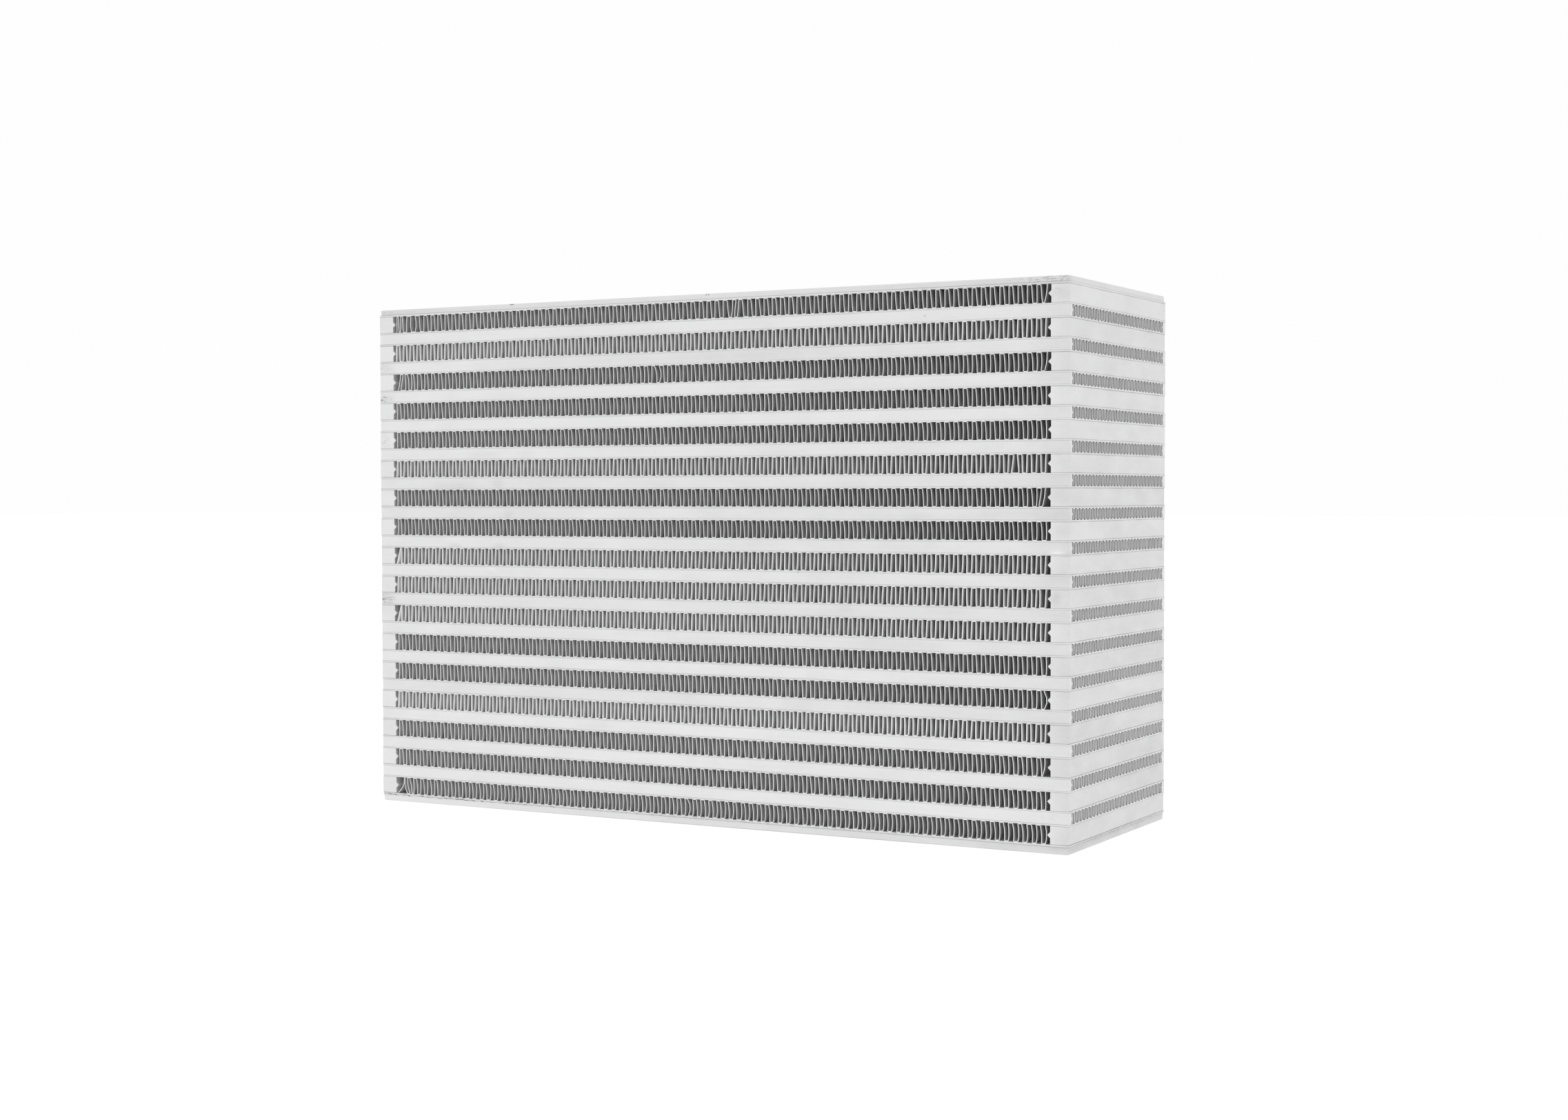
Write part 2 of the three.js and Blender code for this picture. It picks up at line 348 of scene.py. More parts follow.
class Graph:
    """A material's node tree with short calls for the nodes that the finishes share."""

    def __init__(self, name, metallic):
        self.material = bpy.data.materials.new(name)
        self.material.use_nodes = True
        self.tree = self.material.node_tree
        self.shader = self.tree.nodes["Principled BSDF"]
        self.shader.inputs["Metallic"].default_value = metallic
        self.place = self.tree.nodes.new("ShaderNodeTexCoord").outputs["Object"]

    def node(self, kind, **values):
        node = self.tree.nodes.new(kind)
        for name, value in values.items():
            setattr(node, name, value)
        return node

    def link(self, source, target):
        self.tree.links.new(source, target)

    def stretched(self, scale):
        mapping = self.node("ShaderNodeMapping")
        mapping.inputs["Scale"].default_value = scale
        self.link(self.place, mapping.inputs["Vector"])
        return mapping.outputs["Vector"]

    def noise(self, scale, detail, roughness=0.55, shift=None):
        """Noise over the place in metres, scaled along X, Y and Z. Another shift gives another pattern."""
        noise = self.node("ShaderNodeTexNoise", noise_dimensions="4D")
        self.link(self.stretched(scale), noise.inputs["Vector"])
        noise.inputs["Scale"].default_value = 1.0
        noise.inputs["Detail"].default_value = detail
        noise.inputs["Roughness"].default_value = roughness
        if shift is not None:
            self.link(shift, noise.inputs["W"])
        return noise.outputs["Fac"]

    def ranged(self, value, low, high, to_low, to_high):
        """The value, held between low and high, on a scale from to_low to to_high."""
        node = self.node("ShaderNodeMapRange")
        self.link(value, node.inputs["Value"])
        sockets = ("From Min", "From Max", "To Min", "To Max")
        for socket, number in zip(sockets, (low, high, to_low, to_high)):
            node.inputs[socket].default_value = number
        return node.outputs["Result"]

    def math(self, operation, first, second):
        node = self.node("ShaderNodeMath", operation=operation)
        for socket, value in zip(node.inputs, (first, second)):
            if isinstance(value, (int, float)):
                socket.default_value = value
            else:
                self.link(value, socket)
        return node.outputs["Value"]

    def attribute(self, name):
        return self.node("ShaderNodeAttribute", attribute_name=name).outputs["Fac"]

    def specks(self, spacing, size, share):
        """1 inside small round specks, one to a cell of spacing, in that share of the cells. size is the
        radius of a speck as a share of the spacing."""
        cells = self.node("ShaderNodeTexVoronoi")
        self.link(self.stretched((1 / spacing,) * 3), cells.inputs["Vector"])
        cells.inputs["Scale"].default_value = 1.0
        near = self.ranged(cells.outputs["Distance"], size * SPECK_CORE, size, 1.0, 0.0)
        split = self.node("ShaderNodeSeparateColor")
        self.link(cells.outputs["Color"], split.inputs["Color"])
        chosen = self.math("LESS_THAN", split.outputs["Red"], share)
        return self.math("MULTIPLY", near, chosen)

    def joints(self):
        """1 at the levels where an air layer meets the sheets under and over it, 0 away from them."""
        split = self.node("ShaderNodeSeparateXYZ")
        self.link(self.place, split.inputs["Vector"])
        from_middle = self.math("SUBTRACT", split.outputs["Z"], AIR_MIDDLE)
        wrapped = self.math("WRAP", from_middle, LAYER_PITCH / 2)
        wrapped.node.inputs[2].default_value = -LAYER_PITCH / 2
        above = self.math("ABSOLUTE", wrapped, 0.0)
        off = self.math("ABSOLUTE", self.math("SUBTRACT", above, AIR_PASSAGE / 2), 0.0)
        return self.ranged(off, JOINT_CORE, JOINT_FADE, 1.0, 0.0)

    def smudges_and_painted_light(self, marks):
        """The sum of some ellipsoids, given by centre, radii and strength. Each has its strength around its
        centre and fades to 0 at its surface."""
        total = 0.0
        for centre, radii, strength in marks:
            mapping = self.node("ShaderNodeMapping")
            mapping.inputs["Scale"].default_value = [1 / r for r in radii]
            mapping.inputs["Location"].default_value = [-c / r for c, r in zip(centre, radii)]
            self.link(self.place, mapping.inputs["Vector"])
            length = self.node("ShaderNodeVectorMath", operation="LENGTH")
            self.link(mapping.outputs["Vector"], length.inputs[0])
            fading = self.ranged(length.outputs["Value"], SMUDGE_AND_PAINTED_LIGHT_CORE, 1.0, strength, 0.0)
            total = self.math("ADD", fading, total)
        return total

    def colour(self, brightness):
        """Sets the base colour to the metal's tint times a brightness that varies over the surface."""
        scale = self.node("ShaderNodeVectorMath", operation="SCALE")
        scale.inputs[0].default_value = TINT
        self.link(brightness, scale.inputs["Scale"])
        self.link(scale.outputs["Vector"], self.shader.inputs["Base Color"])

    def roughness(self, value):
        self.link(value, self.shader.inputs["Roughness"])

    def bump(self, height, distance, strength):
        bump = self.node("ShaderNodeBump")
        bump.inputs["Distance"].default_value = distance
        bump.inputs["Strength"].default_value = strength
        self.link(height, bump.inputs["Height"])
        self.link(bump.outputs["Normal"], self.shader.inputs["Normal"])


def mill_finish(name, lines, base, marks, spills_and_gap_shadow, metallic=0.8, seam=0.0):
    """Extruded or rolled aluminium: fine draw lines, cloudy braze film and a few dark specks. lines is the
    noise scale along X, Y and Z, small along the way the stock was drawn. base is its brightness. Each mark
    is a smudge, painted shade, or painted light where its strength is below 0: its centre, its radii
    along X, Y and Z, and how much darker it is. Each spill is rough, broken braze, partly with painted
    shadow of the gap at a joint, with the same three values. seam is how much darker the joints under and
    over each air layer are: partly the braze there, partly painted shade of the groove between bar and sheet."""
    graph = Graph(name, metallic)
    tone = graph.attribute("tone")
    drawn = graph.noise(lines, detail=4.0, shift=tone)
    clouds = graph.noise((55, 55, 120), detail=4.0, roughness=0.6, shift=tone)
    patches = graph.noise((14, 14, 30), detail=2.0, shift=tone)
    fine = graph.noise((1600, 1600, 1600), detail=2.0)
    # Each pattern, its usual range, and how much brighter the metal is at the two ends of that range
    patterns = (
        (drawn, 0.3, 0.7, -0.014, 0.014),
        (clouds, 0.35, 0.75, 0.012, -0.022),
        (patches, 0.35, 0.65, 0.01, -0.01),
        (fine, 0.3, 0.7, -0.008, 0.008),
        (tone, 0.0, 1.0, -0.014, 0.014),
    )
    value = base
    for pattern in patterns:
        value = graph.math("ADD", value, graph.ranged(*pattern))
    specks = graph.specks(SPECK_SPACING, SPECK_SIZE, SPECK_SHARE)
    value = graph.math("SUBTRACT", value, graph.math("MULTIPLY", specks, SPECK_DEPTH))
    # Darker joints: partly the braze there, partly painted shade of the groove between bar and sheet
    if seam:
        broken = graph.math("MULTIPLY", graph.joints(), graph.ranged(clouds, 0.4, 0.6, 0.25, 1.0))
        value = graph.math("SUBTRACT", value, graph.math("MULTIPLY", broken, seam))
    uneven = graph.ranged(clouds, 0.3, 0.7, 0.7, 1.0)
    # The marks paint stains, and also painted shade and painted light
    value = graph.math("SUBTRACT", value, graph.math("MULTIPLY", graph.smudges_and_painted_light(marks), uneven))
    grains = graph.noise((420, 420, 1400), detail=4.0, roughness=0.65)
    lumps = graph.ranged(grains, 0.5, 0.62, 0.0, 1.0)
    # The spills paint rough braze, and also painted shadow of the gap at the bottom joint
    value = graph.math("SUBTRACT", value, graph.math("MULTIPLY", graph.smudges_and_painted_light(spills_and_gap_shadow), lumps))
    graph.colour(value)
    rough = graph.ranged(clouds, 0.3, 0.7, 0.42, 0.56)
    graph.roughness(graph.math("ADD", rough, graph.ranged(drawn, 0.3, 0.7, -0.04, 0.04)))
    graph.bump(graph.math("ADD", drawn, graph.math("MULTIPLY", fine, 0.5)), 0.015 * MM, 0.5)
    return graph.material


def fin_finish(name, lines, base, cut, marks):
    """Thin folded strip: faint roll lines under an uneven, dull braze film of brightness base. Near its cut
    edges the metal is bare and has the brightness cut. lines and marks are as for mill_finish."""
    graph = Graph(name, metallic=0.25)
    rolled = graph.noise(lines, detail=2.0)
    film = graph.noise((120, 120, 200), detail=3.0)
    value = graph.ranged(rolled, 0.3, 0.7, -0.02, 0.02)
    value = graph.math("ADD", value, graph.ranged(film, 0.3, 0.7, -0.025, 0.025))
    value = graph.math("ADD", value, graph.ranged(graph.attribute("bare"), 0.0, 1.0, base, cut))
    value = graph.math("SUBTRACT", value, graph.smudges_and_painted_light(marks))
    graph.colour(value)
    graph.roughness(graph.ranged(film, 0.3, 0.7, 0.42, 0.56))
    graph.bump(rolled, 0.01 * MM, 0.4)
    return graph.material


# How deep the marks on the front face go, and the levels of the side plates' joints
MARK_DEPTH = 2 * MM
BOTTOM_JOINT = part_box("side_plate_bottom")[1].z
TOP_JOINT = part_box("side_plate_top")[0].z


def on_front(x, z, half_width, half_height, strength):
    """A mark on the front face: its place and half size in millimetres, and its strength."""
    return (x * MM, FRONT, z * MM), (half_width * MM, MARK_DEPTH, half_height * MM), strength


SIDE_BAR_MARKS = [
    # Painted shade: the first two marks darken the bars towards the near right corner, as the light falls off
    # there
    on_front(205, 190, 28, 300, 0.06),
    on_front(205, 160, 260, 160, 0.025),
    # Painted light: a negative strength lightens the front towards the floor, as if lit from below
    on_front(0, 0, 400, 60, -0.05),
    on_front(20, 241, 190, 7, 0.06),
    on_front(-201, 241, 8, 5, 0.055),
    on_front(-202, 224, 9, 4, 0.08),
    on_front(-201, 113, 9, 5, 0.08),
    on_front(-134, 192, 15, 4, 0.055),
    on_front(-106, 192, 8, 4, 0.045),
    on_front(50, 190.5, 20, 3, 0.035),
    on_front(-155, 175, 28, 4.5, 0.05),
    on_front(-124.5, 177, 6, 5, 0.065),
    on_front(-117.5, 160, 4.5, 4, 0.06),
    on_front(126, 159.5, 11, 3.5, 0.035),
    on_front(-153.5, 142, 6, 3, 0.09),
    on_front(-124.5, 142.5, 6, 3.5, 0.085),
    on_front(-155, 147, 8, 2.5, -0.035),
    on_front(-129, 130.5, 5, 2, -0.045),
    on_front(137.5, 127.5, 10, 3, 0.035),
    on_front(87, 113.5, 10, 4, 0.03),
    on_front(115, 96.5, 40, 5, 0.035),
    on_front(59.7, 131.8, 0.9, 0.6, 0.5),
    on_front(130, 257, 0.6, 0.5, 0.4),
    # Painted highlight: the next two marks are a bright flash on the bars by the near right corner
    on_front(198.5, 141.8, 5.5, 2, -0.15),
    on_front(199, 143.5, 6.5, 5, -0.07),
]
SIDE_BAR_SPILLS = [
    on_front(-202, 240, 10, 5, 0.14),
    on_front(-202.5, 223.5, 8, 3.5, 0.42),
    on_front(-202, 112.5, 8, 4, 0.4),
    on_front(195, 17, 9, 4, 0.08),
]
END_BAR_MARKS = [
    # Painted shade: darkens the end bars towards the near right corner
    on_front(205, 130, 16, 400, 0.03),
    on_front(200, 263, 9, 6, 0.055),
    on_front(198, 121, 4, 6, 0.1),
    on_front(199, 153, 8, 5, 0.04),
    on_front(199, 169.5, 8, 5, 0.035),
    # Painted shade: the right side face grows darker towards the bottom
    ((RIGHT, 0.02, 0.0), (12 * MM, 0.2, 0.45), 0.07),
]
END_BAR_SPILLS = [
    on_front(-202, 200, 5, 6, 0.14),
    on_front(200, 266, 8, 4, 0.08),
]
SHEET_MARKS = [
    ((RIGHT, FRONT, TOP_JOINT), (120 * MM, 6 * MM, 3 * MM), 0.085),
    ((RIGHT, 0.0, BOTTOM_JOINT), (5 * MM, 0.12, 2 * MM), 0.09),
]
PLATE_MARKS = [
    ((RIGHT, FRONT, TOP_JOINT), (130 * MM, 8 * MM, 6 * MM), 0.06),
    ((LEFT, FRONT, TOP_JOINT), (60 * MM, 8 * MM, 6 * MM), 0.05),
    ((RIGHT, FRONT, BOTTOM_JOINT), (70 * MM, 30 * MM, 6 * MM), 0.07),
    ((RIGHT, 0.03, BOTTOM_JOINT), (20 * MM, 0.16, 5 * MM), 0.12),
    # Painted light: the front of the bottom plate is lightened near the floor
    ((LEFT, FRONT, 0.0), (0.34, 10 * MM, 10 * MM), -0.065),
    # Painted contact shadow: a dark line along the lower front edge of the bottom plate
    on_front(30, 0, 240, 0.6, 0.25),
    on_front(-115, 273.1, 2.2, 0.8, 0.65),
    on_front(6.6, 272.8, 0.4, 0.9, 0.65),
    on_front(8.1, 272.8, 0.4, 0.9, 0.65),
    on_front(51, 272, 2.5, 1.2, 0.045),
]
# Dark broken line along the joint over the bottom plate: partly rough braze, partly painted shadow of the gap
# between plate and sheet
JOINT_BRAZE_AND_GAP_SHADOW = [
    ((LEFT, FRONT, BOTTOM_JOINT), (0.15, 4 * MM, 0.8 * MM), 0.6),
    ((0.0, FRONT, BOTTOM_JOINT), (0.24, 4 * MM, 0.6 * MM), 0.25),
    ((RIGHT, 0.0, BOTTOM_JOINT), (4 * MM, 0.1, 1.4 * MM), 0.2),
]
PLATE_BRAZE_AND_GAP_SHADOW = JOINT_BRAZE_AND_GAP_SHADOW + [
    on_front(197, 272, 30, 3, 0.3),
    on_front(-201, 272, 7, 3, 0.12),
]
# Painted light: the fins of the lower layers are lightened, most towards the right end
AIR_FIN_MARKS = [((RIGHT, FRONT, 0.05), (0.6, 0.3, 0.09), -0.08)]
OIL_FIN_MARKS = [((RIGHT, 0.0, 0.03), (0.6, 0.3, 0.14), -0.05)]

SIDE_BAR_FINISH = mill_finish(
    "side_bar_aluminium", lines=(25, 1500, 1500), base=0.72, marks=SIDE_BAR_MARKS, spills_and_gap_shadow=SIDE_BAR_SPILLS
)
END_BAR_FINISH = mill_finish(
    "end_bar_aluminium",
    lines=(1500, 25, 1500),
    base=0.69,
    marks=END_BAR_MARKS,
    spills_and_gap_shadow=END_BAR_SPILLS,
    metallic=0.4,
    seam=0.2,
)
SHEET_FINISH = mill_finish(
    "clad_sheet_aluminium", lines=(400, 400, 4000), base=0.67, marks=SHEET_MARKS, spills_and_gap_shadow=JOINT_BRAZE_AND_GAP_SHADOW
)
PLATE_FINISH = mill_finish(
    "side_plate_aluminium", lines=(8, 260, 260), base=0.69, marks=PLATE_MARKS, spills_and_gap_shadow=PLATE_BRAZE_AND_GAP_SHADOW
)
AIR_FIN_FINISH = fin_finish(
    "air_fin_aluminium", lines=(900, 40, 60), base=0.64, cut=0.84, marks=AIR_FIN_MARKS
)
OIL_FIN_FINISH = fin_finish(
    "oil_fin_aluminium", lines=(40, 900, 60), base=0.46, cut=0.68, marks=OIL_FIN_MARKS
)


def set_values(piece, name, values):
    """Gives the points of the piece one value for all of them, or a value each, that its finish reads."""
    field = piece.data.attributes.new(name, "FLOAT", "POINT")
    field.data.foreach_set("value", np.full(len(piece.data.vertices), values, np.float32))


# Bars

def nosed_profile(outer, width, nose, low, high):
    """Profile of a bar from its outer side inwards, with the V nose half way up its inner side."""
    side = math.copysign(1, outer)
    inner = outer - side * width
    middle = (low + high) / 2
    corners = [
        (outer, low),
        (outer, high),
        (inner, high),
        (inner, middle + nose),
        (inner - side * nose, middle),
        (inner, middle - nose),
        (inner, low),
    ]
    if side < 0:
        corners.reverse()
    return rounded(corners, BAR_EDGE)


def end_bar(name, side, low, high, nodes, seed):
    """Bar that closes one end of an air layer. It runs along Y."""
    rng = np.random.default_rng(seed)
    outer = (RIGHT if side > 0 else LEFT) - side * rng.uniform(*END_BAR_SETBACKS[side]) * MM
    profile = nosed_profile(outer, END_BAR_WIDTH, END_BAR_NOSE, low, high)
    inset = rng.uniform(*END_BAR_INSET, 2) * MM
    bar = loft_bar(profile, FRONT + inset[0], BACK - inset[1], BAR_EDGE)
    bar[:, :, 0] -= side * np.abs(drift(rng, bar[:, 0, 2], *END_BAR_WANDER))[:, None]
    points = bar[:, :, [0, 2, 1]].reshape(-1, 3)
    faces = [f[:, ::-1] for f in loft_faces(*bar.shape[:2])]
    piece = make_piece(name, points, faces, END_BAR_FINISH, nodes)
    set_values(piece, "tone", rng.uniform())


def side_bar(name, side, low, high, nodes, seed):
    """Bar that closes one side of an oil layer. It runs along X."""
    rng = np.random.default_rng(seed)
    outer = (BACK if side > 0 else FRONT) - side * rng.uniform(*SIDE_BAR_SETBACK) * MM
    profile = nosed_profile(outer, SIDE_BAR_WIDTH, SIDE_BAR_NOSE, low, high)
    inset = [rng.uniform(*limits) * MM for limits in SIDE_BAR_INSETS]
    bar = loft_bar(profile, LEFT + inset[0], RIGHT - inset[1], BAR_EDGE)
    bar[:, :, 0] -= side * np.abs(drift(rng, bar[:, 0, 2], *SIDE_BAR_WANDER))[:, None]
    points = bar[:, :, [2, 0, 1]].reshape(-1, 3)
    piece = make_piece(name, points, loft_faces(*bar.shape[:2]), SIDE_BAR_FINISH, nodes)
    set_values(piece, "tone", rng.uniform())


# Sheets and plates

def sheet(name, low, high, nodes, seed):
    """Thin rolled sheet over the whole core, whose cut edges wander a little."""
    rng = np.random.default_rng(seed)
    corners = [(FRONT, low), (BACK, low), (BACK, high), (FRONT, high)]
    profile = rounded(corners, SHEET_EDGE)
    inset = [rng.uniform(*limits) * MM for limits in SHEET_INSETS]
    slab = loft_bar(profile, LEFT + inset[0], RIGHT - inset[1], SHEET_EDGE)
    middle = (FRONT + BACK) / 2
    for side in (-1, 1):
        edge = (profile[:, 0] > middle) == (side > 0)
        offset = np.abs(drift(rng, slab[:, 0, 2], *SHEET_WANDER)) + rng.uniform(*SHEET_SETBACK) * MM
        slab[:, edge, 0] -= side * offset[:, None]
    points = slab[:, :, [2, 0, 1]].reshape(-1, 3)
    piece = make_piece(name, points, loft_faces(*slab.shape[:2]), SHEET_FINISH, nodes)
    set_values(piece, "tone", rng.uniform())


def side_plate(name, node, corner, left=0.0, draft=0.0):
    """Plate that closes the stack, with softened edges and corners of radius corner. Its left end reaches
    further out by left, and slopes in by draft towards the underside."""
    low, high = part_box(node)
    rng = np.random.default_rng(SEEDS[name])
    corners = [(low.x, low.y), (high.x, low.y), (high.x, high.y), (low.x, high.y)]
    step = PART_WAY * PLATE_EDGE
    levels = [
        (low.z, PLATE_EDGE),
        (low.z + step, step),
        (low.z + PLATE_EDGE, 0.0),
        (high.z - PLATE_EDGE, 0.0),
        (high.z - step, step),
        (high.z, PLATE_EDGE),
    ]
    outline = rounded(corners, corner, PLATE_CORNER_STEPS)
    half = outline.max(0)
    rings = []
    for level, inset in levels:
        ring = outline * (1 - inset / half)
        slope = draft * (high.z - level) / (high.z - low.z)
        ring[ring[:, 0] < 0, 0] += slope - left
        rings.append(np.column_stack([ring, np.full(len(ring), level)]))
    points = np.concatenate(rings)
    faces = loft_faces(len(levels), len(outline))
    piece = make_piece(name, points, faces, PLATE_FINISH, [node])
    set_values(piece, "tone", rng.uniform())


# Folded fins

# Shares of a leg's height at its points between the folds, and how many points it has with one at each fold
LEG_STEPS = np.array([0.0, 1 / 3, 2 / 3, 1.0])
LEG_POINTS = len(LEG_STEPS) + 2

# Least cosine of half the turn at a point, which keeps the sides of a strip from spiking at a tight fold
LEAST_MITRE = 0.6


def fold_line(legs, low, high, gauge):
    """Centreline of a folded strip in its own plane. legs is a list of (foot, middle, head) places across
    the strip, in order. The strip goes up the first and down the second. Returns (across, up) points."""
    bottom, top = low + gauge / 2, high - gauge / 2
    levels = bottom + FOLD_RADIUS + LEG_STEPS * (top - bottom - 2 * FOLD_RADIUS)
    points = []
    for index, (foot, middle, head) in enumerate(legs):
        bow = middle - (foot + head) / 2
        across = foot + (head - foot) * LEG_STEPS + 4 * bow * LEG_STEPS * (1 - LEG_STEPS)
        back = -FOLD_RADIUS if index % 2 == 0 else FOLD_RADIUS
        leg = [(foot + back, bottom), *zip(across, levels), (head - back, top)]
        points += leg if index % 2 == 0 else leg[::-1]
    return np.array(points)


def thicken(line, gauge):
    """The two sides of a strip of that gauge along a centreline."""
    ahead = np.diff(line, axis=0)
    ahead /= np.linalg.norm(ahead, axis=1)[:, None]
    normals = np.column_stack([-ahead[:, 1], ahead[:, 0]])
    first, last = normals[:1], normals[-1:]
    before = np.concatenate([first, normals])
    after = np.concatenate([normals, last])
    mitre = before + after
    mitre /= np.linalg.norm(mitre, axis=1)[:, None]
    stretch = 1 / np.maximum((mitre * before).sum(1), LEAST_MITRE)
    offset = mitre * stretch[:, None] * gauge / 2
    return line + offset, line - offset


def strip_faces(count, depth):
    """Quads of a thick strip: count points along each of its two sides, at depth stations."""
    def grid(base, flip):
        row = np.arange(depth - 1)[:, None] * 2 * count + base
        column = np.arange(count - 1)[None, :]
        a = row + column
        quad = [a, a + 1, a + 2 * count + 1, a + 2 * count]
        return np.stack(quad[::-1] if flip else quad, axis=-1).reshape(-1, 4)

    column = np.arange(count - 1)
    front = np.stack([column, column + count, column + count + 1, column + 1], axis=-1)
    back = front[:, ::-1] + (depth - 1) * 2 * count
    row = np.arange(depth - 1) * 2 * count
    start = np.stack([row, row + 2 * count, row + 3 * count, row + count], axis=-1)
    end = start[:, ::-1] + count - 1
    return [np.concatenate([grid(0, False), grid(count, True), front, back, start, end])]


def fin_run(span, near, length, reach):
    """Depths along a zigzag fin, its side shift there, and 1 where it is bare near its cut edges. Besides the
    turns it has the near depths at both ends, and is bare up to the second of them."""
    halves = round(2 * span / length)
    turns = np.linspace(0, span, halves + 1)
    shifts = reach * (np.cos(math.pi * np.arange(halves + 1)) - 1)
    depths = np.unique(np.concatenate([near, turns, span - near]))
    across = np.interp(depths, turns, shifts)
    bare = (depths <= near[1]) | (depths >= span - near[1])
    return depths, across, bare


def even_legs(rng, start, end, pitch, lean, spread, bow):
    """Foot, middle and head of each leg between start and end, a little uneven as folded strip is."""
    count = round((end - start) / pitch)
    places = np.linspace(start, end, count) + rng.normal(0, LEG_JITTER * pitch, count)
    folds = np.where(np.arange(count) % 2 == 0, 1, -1) * spread * rng.uniform(*SPREAD_SHARES, count)
    travel = lean + drift(rng, places, *LEAN_WANDER) + folds
    middles = places + bow + rng.normal(0, BOW_JITTER, count) + drift(rng, places, *BOW_WANDER)
    return np.column_stack([places - travel / 2, middles, places + travel / 2])


def folded_fin(name, node, material, legs, turned, gauge, run, wall, swap):
    """A folded strip that fills the layer of the CAD node. turned is how far the points of the centreline are
    turned aside at the near depths of the first end and of the last, starting with the cut edges. run holds
    its depths, side shifts and bare ends. The side shifts are held back where they would use up more than
    ROOM_USED of the room between the strip and wall. swap puts its run along X."""
    low, high = (corner.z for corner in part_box(node))
    line = fold_line(legs, low, high, gauge)
    upper, lower = thicken(line, gauge)
    section = np.concatenate([upper, lower])
    section[:, 1] = np.clip(section[:, 1], low, high)
    depths, shifts, bare = run
    start = (LEFT if swap else FRONT) + FIN_RECESS
    points = np.empty((len(depths), len(section), 3))
    across, along = (1, 0) if swap else (0, 1)
    room = ROOM_USED * np.clip(line[:, 0] - gauge / 2 - wall, 0.0, None)
    held = np.maximum(shifts[:, None], -np.tile(room, 2)[None, :])
    points[:, :, across] = section[None, :, 0] + held
    first, last = (np.tile(end, 2) for end in turned)
    points[: len(first), :, across] -= first
    points[-len(last) :, :, across] -= last[::-1]
    points[:, :, along] = start + depths[:, None]
    points[:, :, 2] = section[None, :, 1]
    faces = strip_faces(len(line), len(depths))
    if swap:
        faces = [f[:, ::-1] for f in faces]
    piece = make_piece(name, points.reshape(-1, 3), faces, material, [node], crease=FOLD_CREASE)
    set_values(piece, "bare", np.repeat(bare, len(section)))


def air_fin(index):
    rng = np.random.default_rng(SEEDS["air_fin"] + index)
    node = numbered("air_fin", index)
    low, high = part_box(node)
    turned, lean, bow, spread = (value * MM for value in AIR_FIN_TRAITS[index])
    start, end = low.x + AIR_FIN_MARGIN, high.x - AIR_FIN_MARGIN
    legs = even_legs(rng, start, end, AIR_LEG_PITCH, lean, spread, bow)
    for leg, foot, middle, head in BENT_LEGS.get(index, ()):
        legs[leg] += np.array([foot, middle, head]) * MM
    lip = AIR_LIP if turned else CUT_EDGE
    near = np.array([0, lip, lip + NEAR_STEP])
    run = fin_run(BACK - FRONT - 2 * FIN_RECESS, near, AIR_WAVE, AIR_WAVE_REACH)
    lips = np.zeros((len(near), len(legs) * LEG_POINTS))
    lips[0] = turned * np.linspace(AIR_LIP_GROWTH, 1.0, lips.shape[1])
    twisted = lips.copy()
    twisted[:, :LEG_POINTS] += np.outer(TWIST_FADE, TWIST_LEVELS) * FIRST_TWISTS.get(index, 0.0) * MM
    wall = LEFT + END_BAR_WIDTH + END_BAR_NOSE + NOSE_CLEARANCE + turned * AIR_LIP_GROWTH
    name = numbered("air_fin_strip", index)
    ends = (twisted, lips)
    folded_fin(name, node, AIR_FIN_FINISH, legs, ends, AIR_FIN_SHEET, run, wall, False)


def oil_fin(index):
    rng = np.random.default_rng(SEEDS["oil_fin"] + index)
    node = numbered("oil_fin", index)
    low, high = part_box(node)
    lean = rng.uniform(-OIL_FIN_LEAN, OIL_FIN_LEAN)
    start, end = low.y + OIL_FIN_MARGIN, high.y - OIL_FIN_MARGIN
    legs = even_legs(rng, start, end, OIL_LEG_PITCH, lean, OIL_FIN_SPREAD, 0.0)
    near = np.array([0, CUT_EDGE, CUT_EDGE + NEAR_STEP])
    run = fin_run(RIGHT - LEFT - 2 * FIN_RECESS, near, OIL_WAVE, OIL_WAVE_REACH)
    lips = np.zeros((1, len(legs) * LEG_POINTS))
    wall = FRONT + SIDE_BAR_WIDTH + SIDE_BAR_NOSE + NOSE_CLEARANCE
    name = numbered("oil_fin_strip", index)
    ends = (lips, lips)
    folded_fin(name, node, OIL_FIN_FINISH, legs, ends, OIL_FIN_SHEET, run, wall, True)


# Assembly

def build_ends():
    side_plate("bottom_plate", "side_plate_bottom", corner=0.6 * MM, left=0.4 * MM, draft=0.8 * MM)
    side_plate("top_plate", "side_plate_top", corner=1.2 * MM)
    for end in ("bottom", "top"):
        node = "outer_sheet_" + end
        low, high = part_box(node)
        name = "clad_sheet_" + end
        sheet(name, low.z, high.z, [node], SEEDS[name])
    for side, word in ((-1, "left"), (1, "right")):
        node = "air_end_bar_" + word
        low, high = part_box(node)
        name = numbered("end_bar_" + word, 1)
        end_bar(name, side, low.z, high.z, [node], SEEDS["lowest_end_bar"] + side)


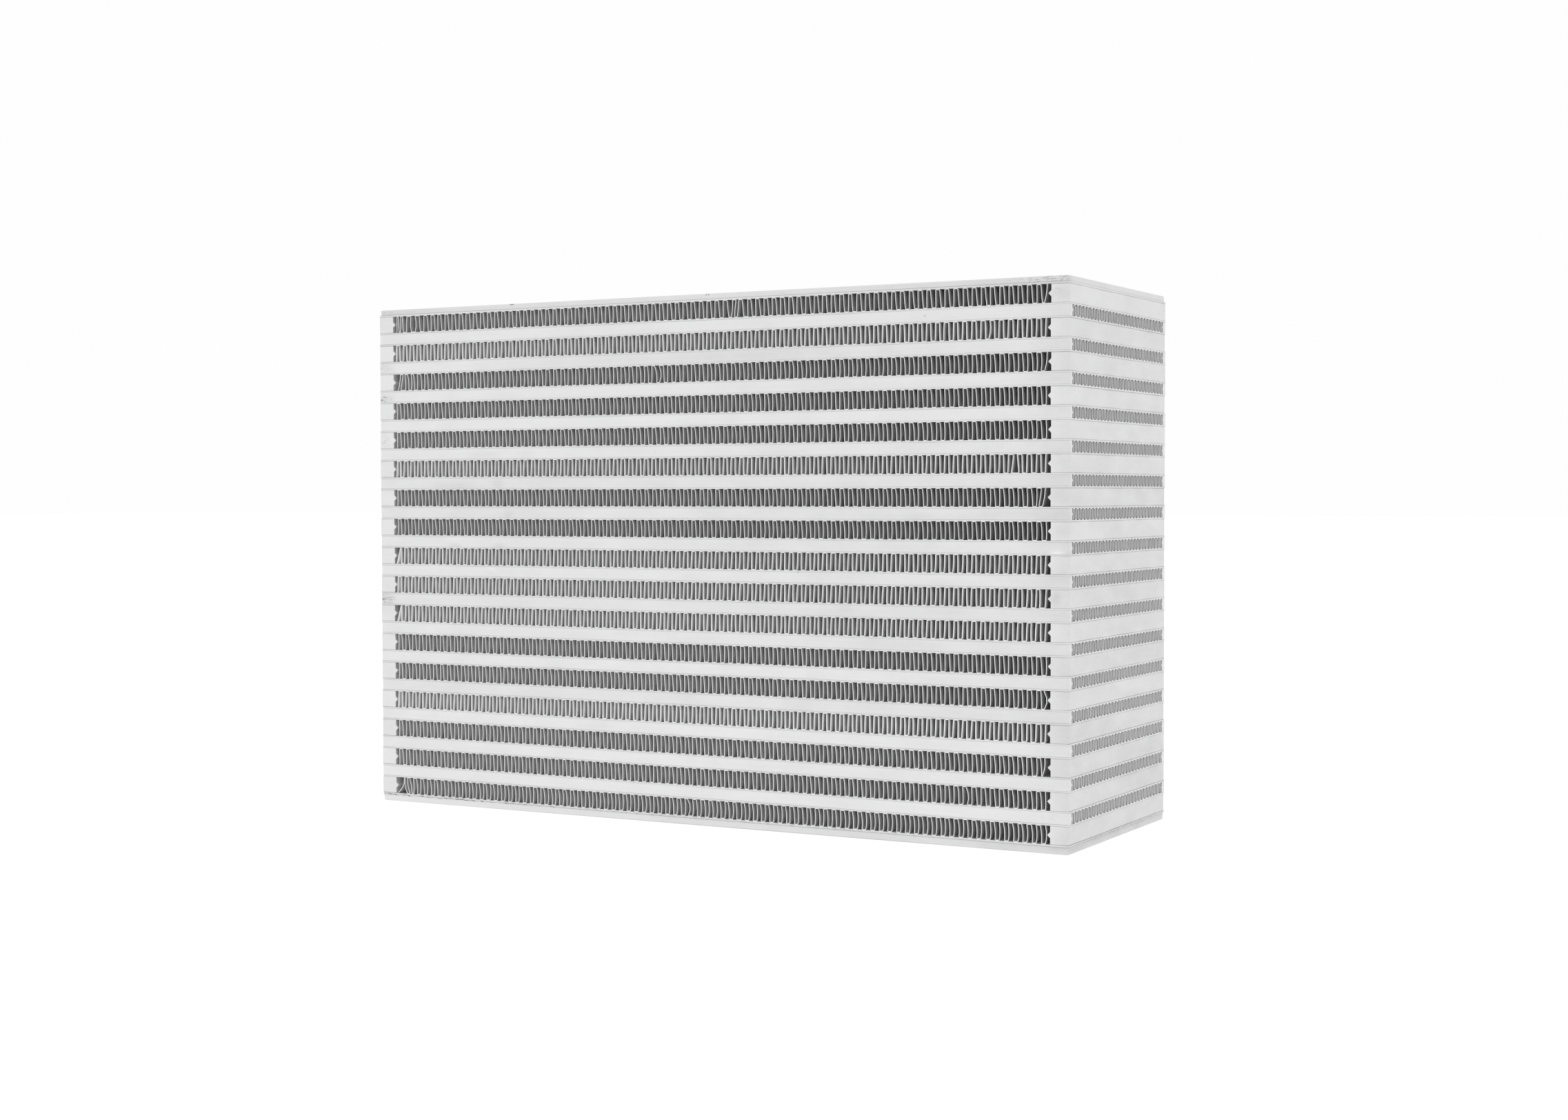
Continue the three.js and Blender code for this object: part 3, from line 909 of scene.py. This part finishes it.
def build_channel(index):
    """The pieces of one oil channel, and the two end bars of the air layer over it."""
    node = numbered("oil_channel", index)
    channel_low, channel_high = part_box(node)
    fin_low, fin_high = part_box(numbered("oil_fin", index))
    air_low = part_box(numbered("air_fin", index + 1))[0]
    for kind, low, high in (
        ("parting_sheet_lower", channel_low, fin_low),
        ("parting_sheet_upper", fin_high, air_low),
    ):
        sheet(numbered(kind, index), low.z, high.z, [node], SEEDS[kind] + index)
    for kind, side in (("oil_bar_front", -1), ("oil_bar_back", 1)):
        side_bar(numbered(kind, index), side, fin_low.z, fin_high.z, [node], SEEDS[kind] + index)
    for kind, side in (("end_bar_left", -1), ("end_bar_right", 1)):
        end_bar(numbered(kind, index + 1), side, air_low.z, channel_high.z, [node], SEEDS[kind] + index)


build_ends()
for layer in range(1, OIL_LAYERS + 1):
    build_channel(layer)
    oil_fin(layer)
for layer in range(1, AIR_LAYERS + 1):
    air_fin(layer)


# Setting, light and camera

UPRIGHT = (0, 0, 1)

# The floor is lit from within, like a light table, so that it stays as pale as the world behind it
FLOOR_SIZE = 30.0
FLOOR_GLOW = 0.75
WORLD_STRENGTH = 0.99

# Energy, place and direction of the wide sun from the front, and of the panel above and behind the right end
SUN = (0.45, (0.3, -2.2, 2.2), (-0.3, 2.2, -2.2))
SUN_ANGLE = 50
PANEL = (0.7, (0.7, 0.45, 0.85), (-0.5, -0.45, -0.65))
PANEL_SIZE = 0.4

# Camera: its sensor and lens in millimetres, its place, the directions ahead of it and above it, and the
# nearest that it sees
SENSOR_WIDTH = 36.0
LENS = 51.2
CAMERA_PLACE = (0.5927, -1.0497, 0.1710)
CAMERA_AHEAD = (-0.48210, 0.87561, -0.02973)
CAMERA_UP = (-0.01246, 0.02708, 0.99956)
NEAREST = 0.05


def build_floor():
    mesh = bpy.data.meshes.new("floor")
    half = FLOOR_SIZE / 2
    corners = [(-half, -half, 0), (half, -half, 0), (half, half, 0), (-half, half, 0)]
    mesh.from_pydata(corners, [], [(0, 1, 2, 3)])
    material = bpy.data.materials.new("pale_floor")
    material.use_nodes = True
    shader = material.node_tree.nodes["Principled BSDF"]
    shader.inputs["Base Color"].default_value = (0.3, 0.3, 0.3, 1)
    shader.inputs["Roughness"].default_value = 0.9
    shader.inputs["Emission Color"].default_value = (1, 1, 1, 1)
    shader.inputs["Emission Strength"].default_value = FLOOR_GLOW
    mesh.materials.append(material)
    floor = bpy.data.objects.new("floor", mesh)
    bpy.context.scene.collection.objects.link(floor)


def place_facing(thing, position, ahead, up):
    """Puts a camera or lamp at position, looking along ahead."""
    back = -np.array(ahead, float)
    back /= np.linalg.norm(back)
    right = np.cross(up, back)
    right /= np.linalg.norm(right)
    above = np.cross(back, right)
    turned = Matrix([[right[i], above[i], back[i]] for i in range(3)]).to_4x4()
    turned.translation = position
    thing.matrix_world = turned


def add_lamp(name, kind, energy, position, ahead):
    light = bpy.data.lights.new(name, kind)
    light.energy = energy
    lamp = bpy.data.objects.new(name, light)
    bpy.context.scene.collection.objects.link(lamp)
    place_facing(lamp, position, ahead, UPRIGHT)
    return light


def build_light():
    world = bpy.data.worlds.new("studio")
    bpy.context.scene.world = world
    world.use_nodes = True
    background = world.node_tree.nodes["Background"]
    background.inputs["Color"].default_value = (1, 1, 1, 1)
    background.inputs["Strength"].default_value = WORLD_STRENGTH
    add_lamp("softbox", "SUN", *SUN).angle = math.radians(SUN_ANGLE)
    add_lamp("side_panel", "AREA", *PANEL).size = PANEL_SIZE
    bpy.context.scene.view_settings.view_transform = "Standard"


def build_camera():
    data = bpy.data.cameras.new("camera")
    data.sensor_width = SENSOR_WIDTH
    data.lens = LENS
    data.clip_start = NEAREST
    camera = bpy.data.objects.new("camera", data)
    bpy.context.scene.collection.objects.link(camera)
    place_facing(camera, CAMERA_PLACE, CAMERA_AHEAD, CAMERA_UP)
    bpy.context.scene.camera = camera


build_floor()
build_light()
build_camera()
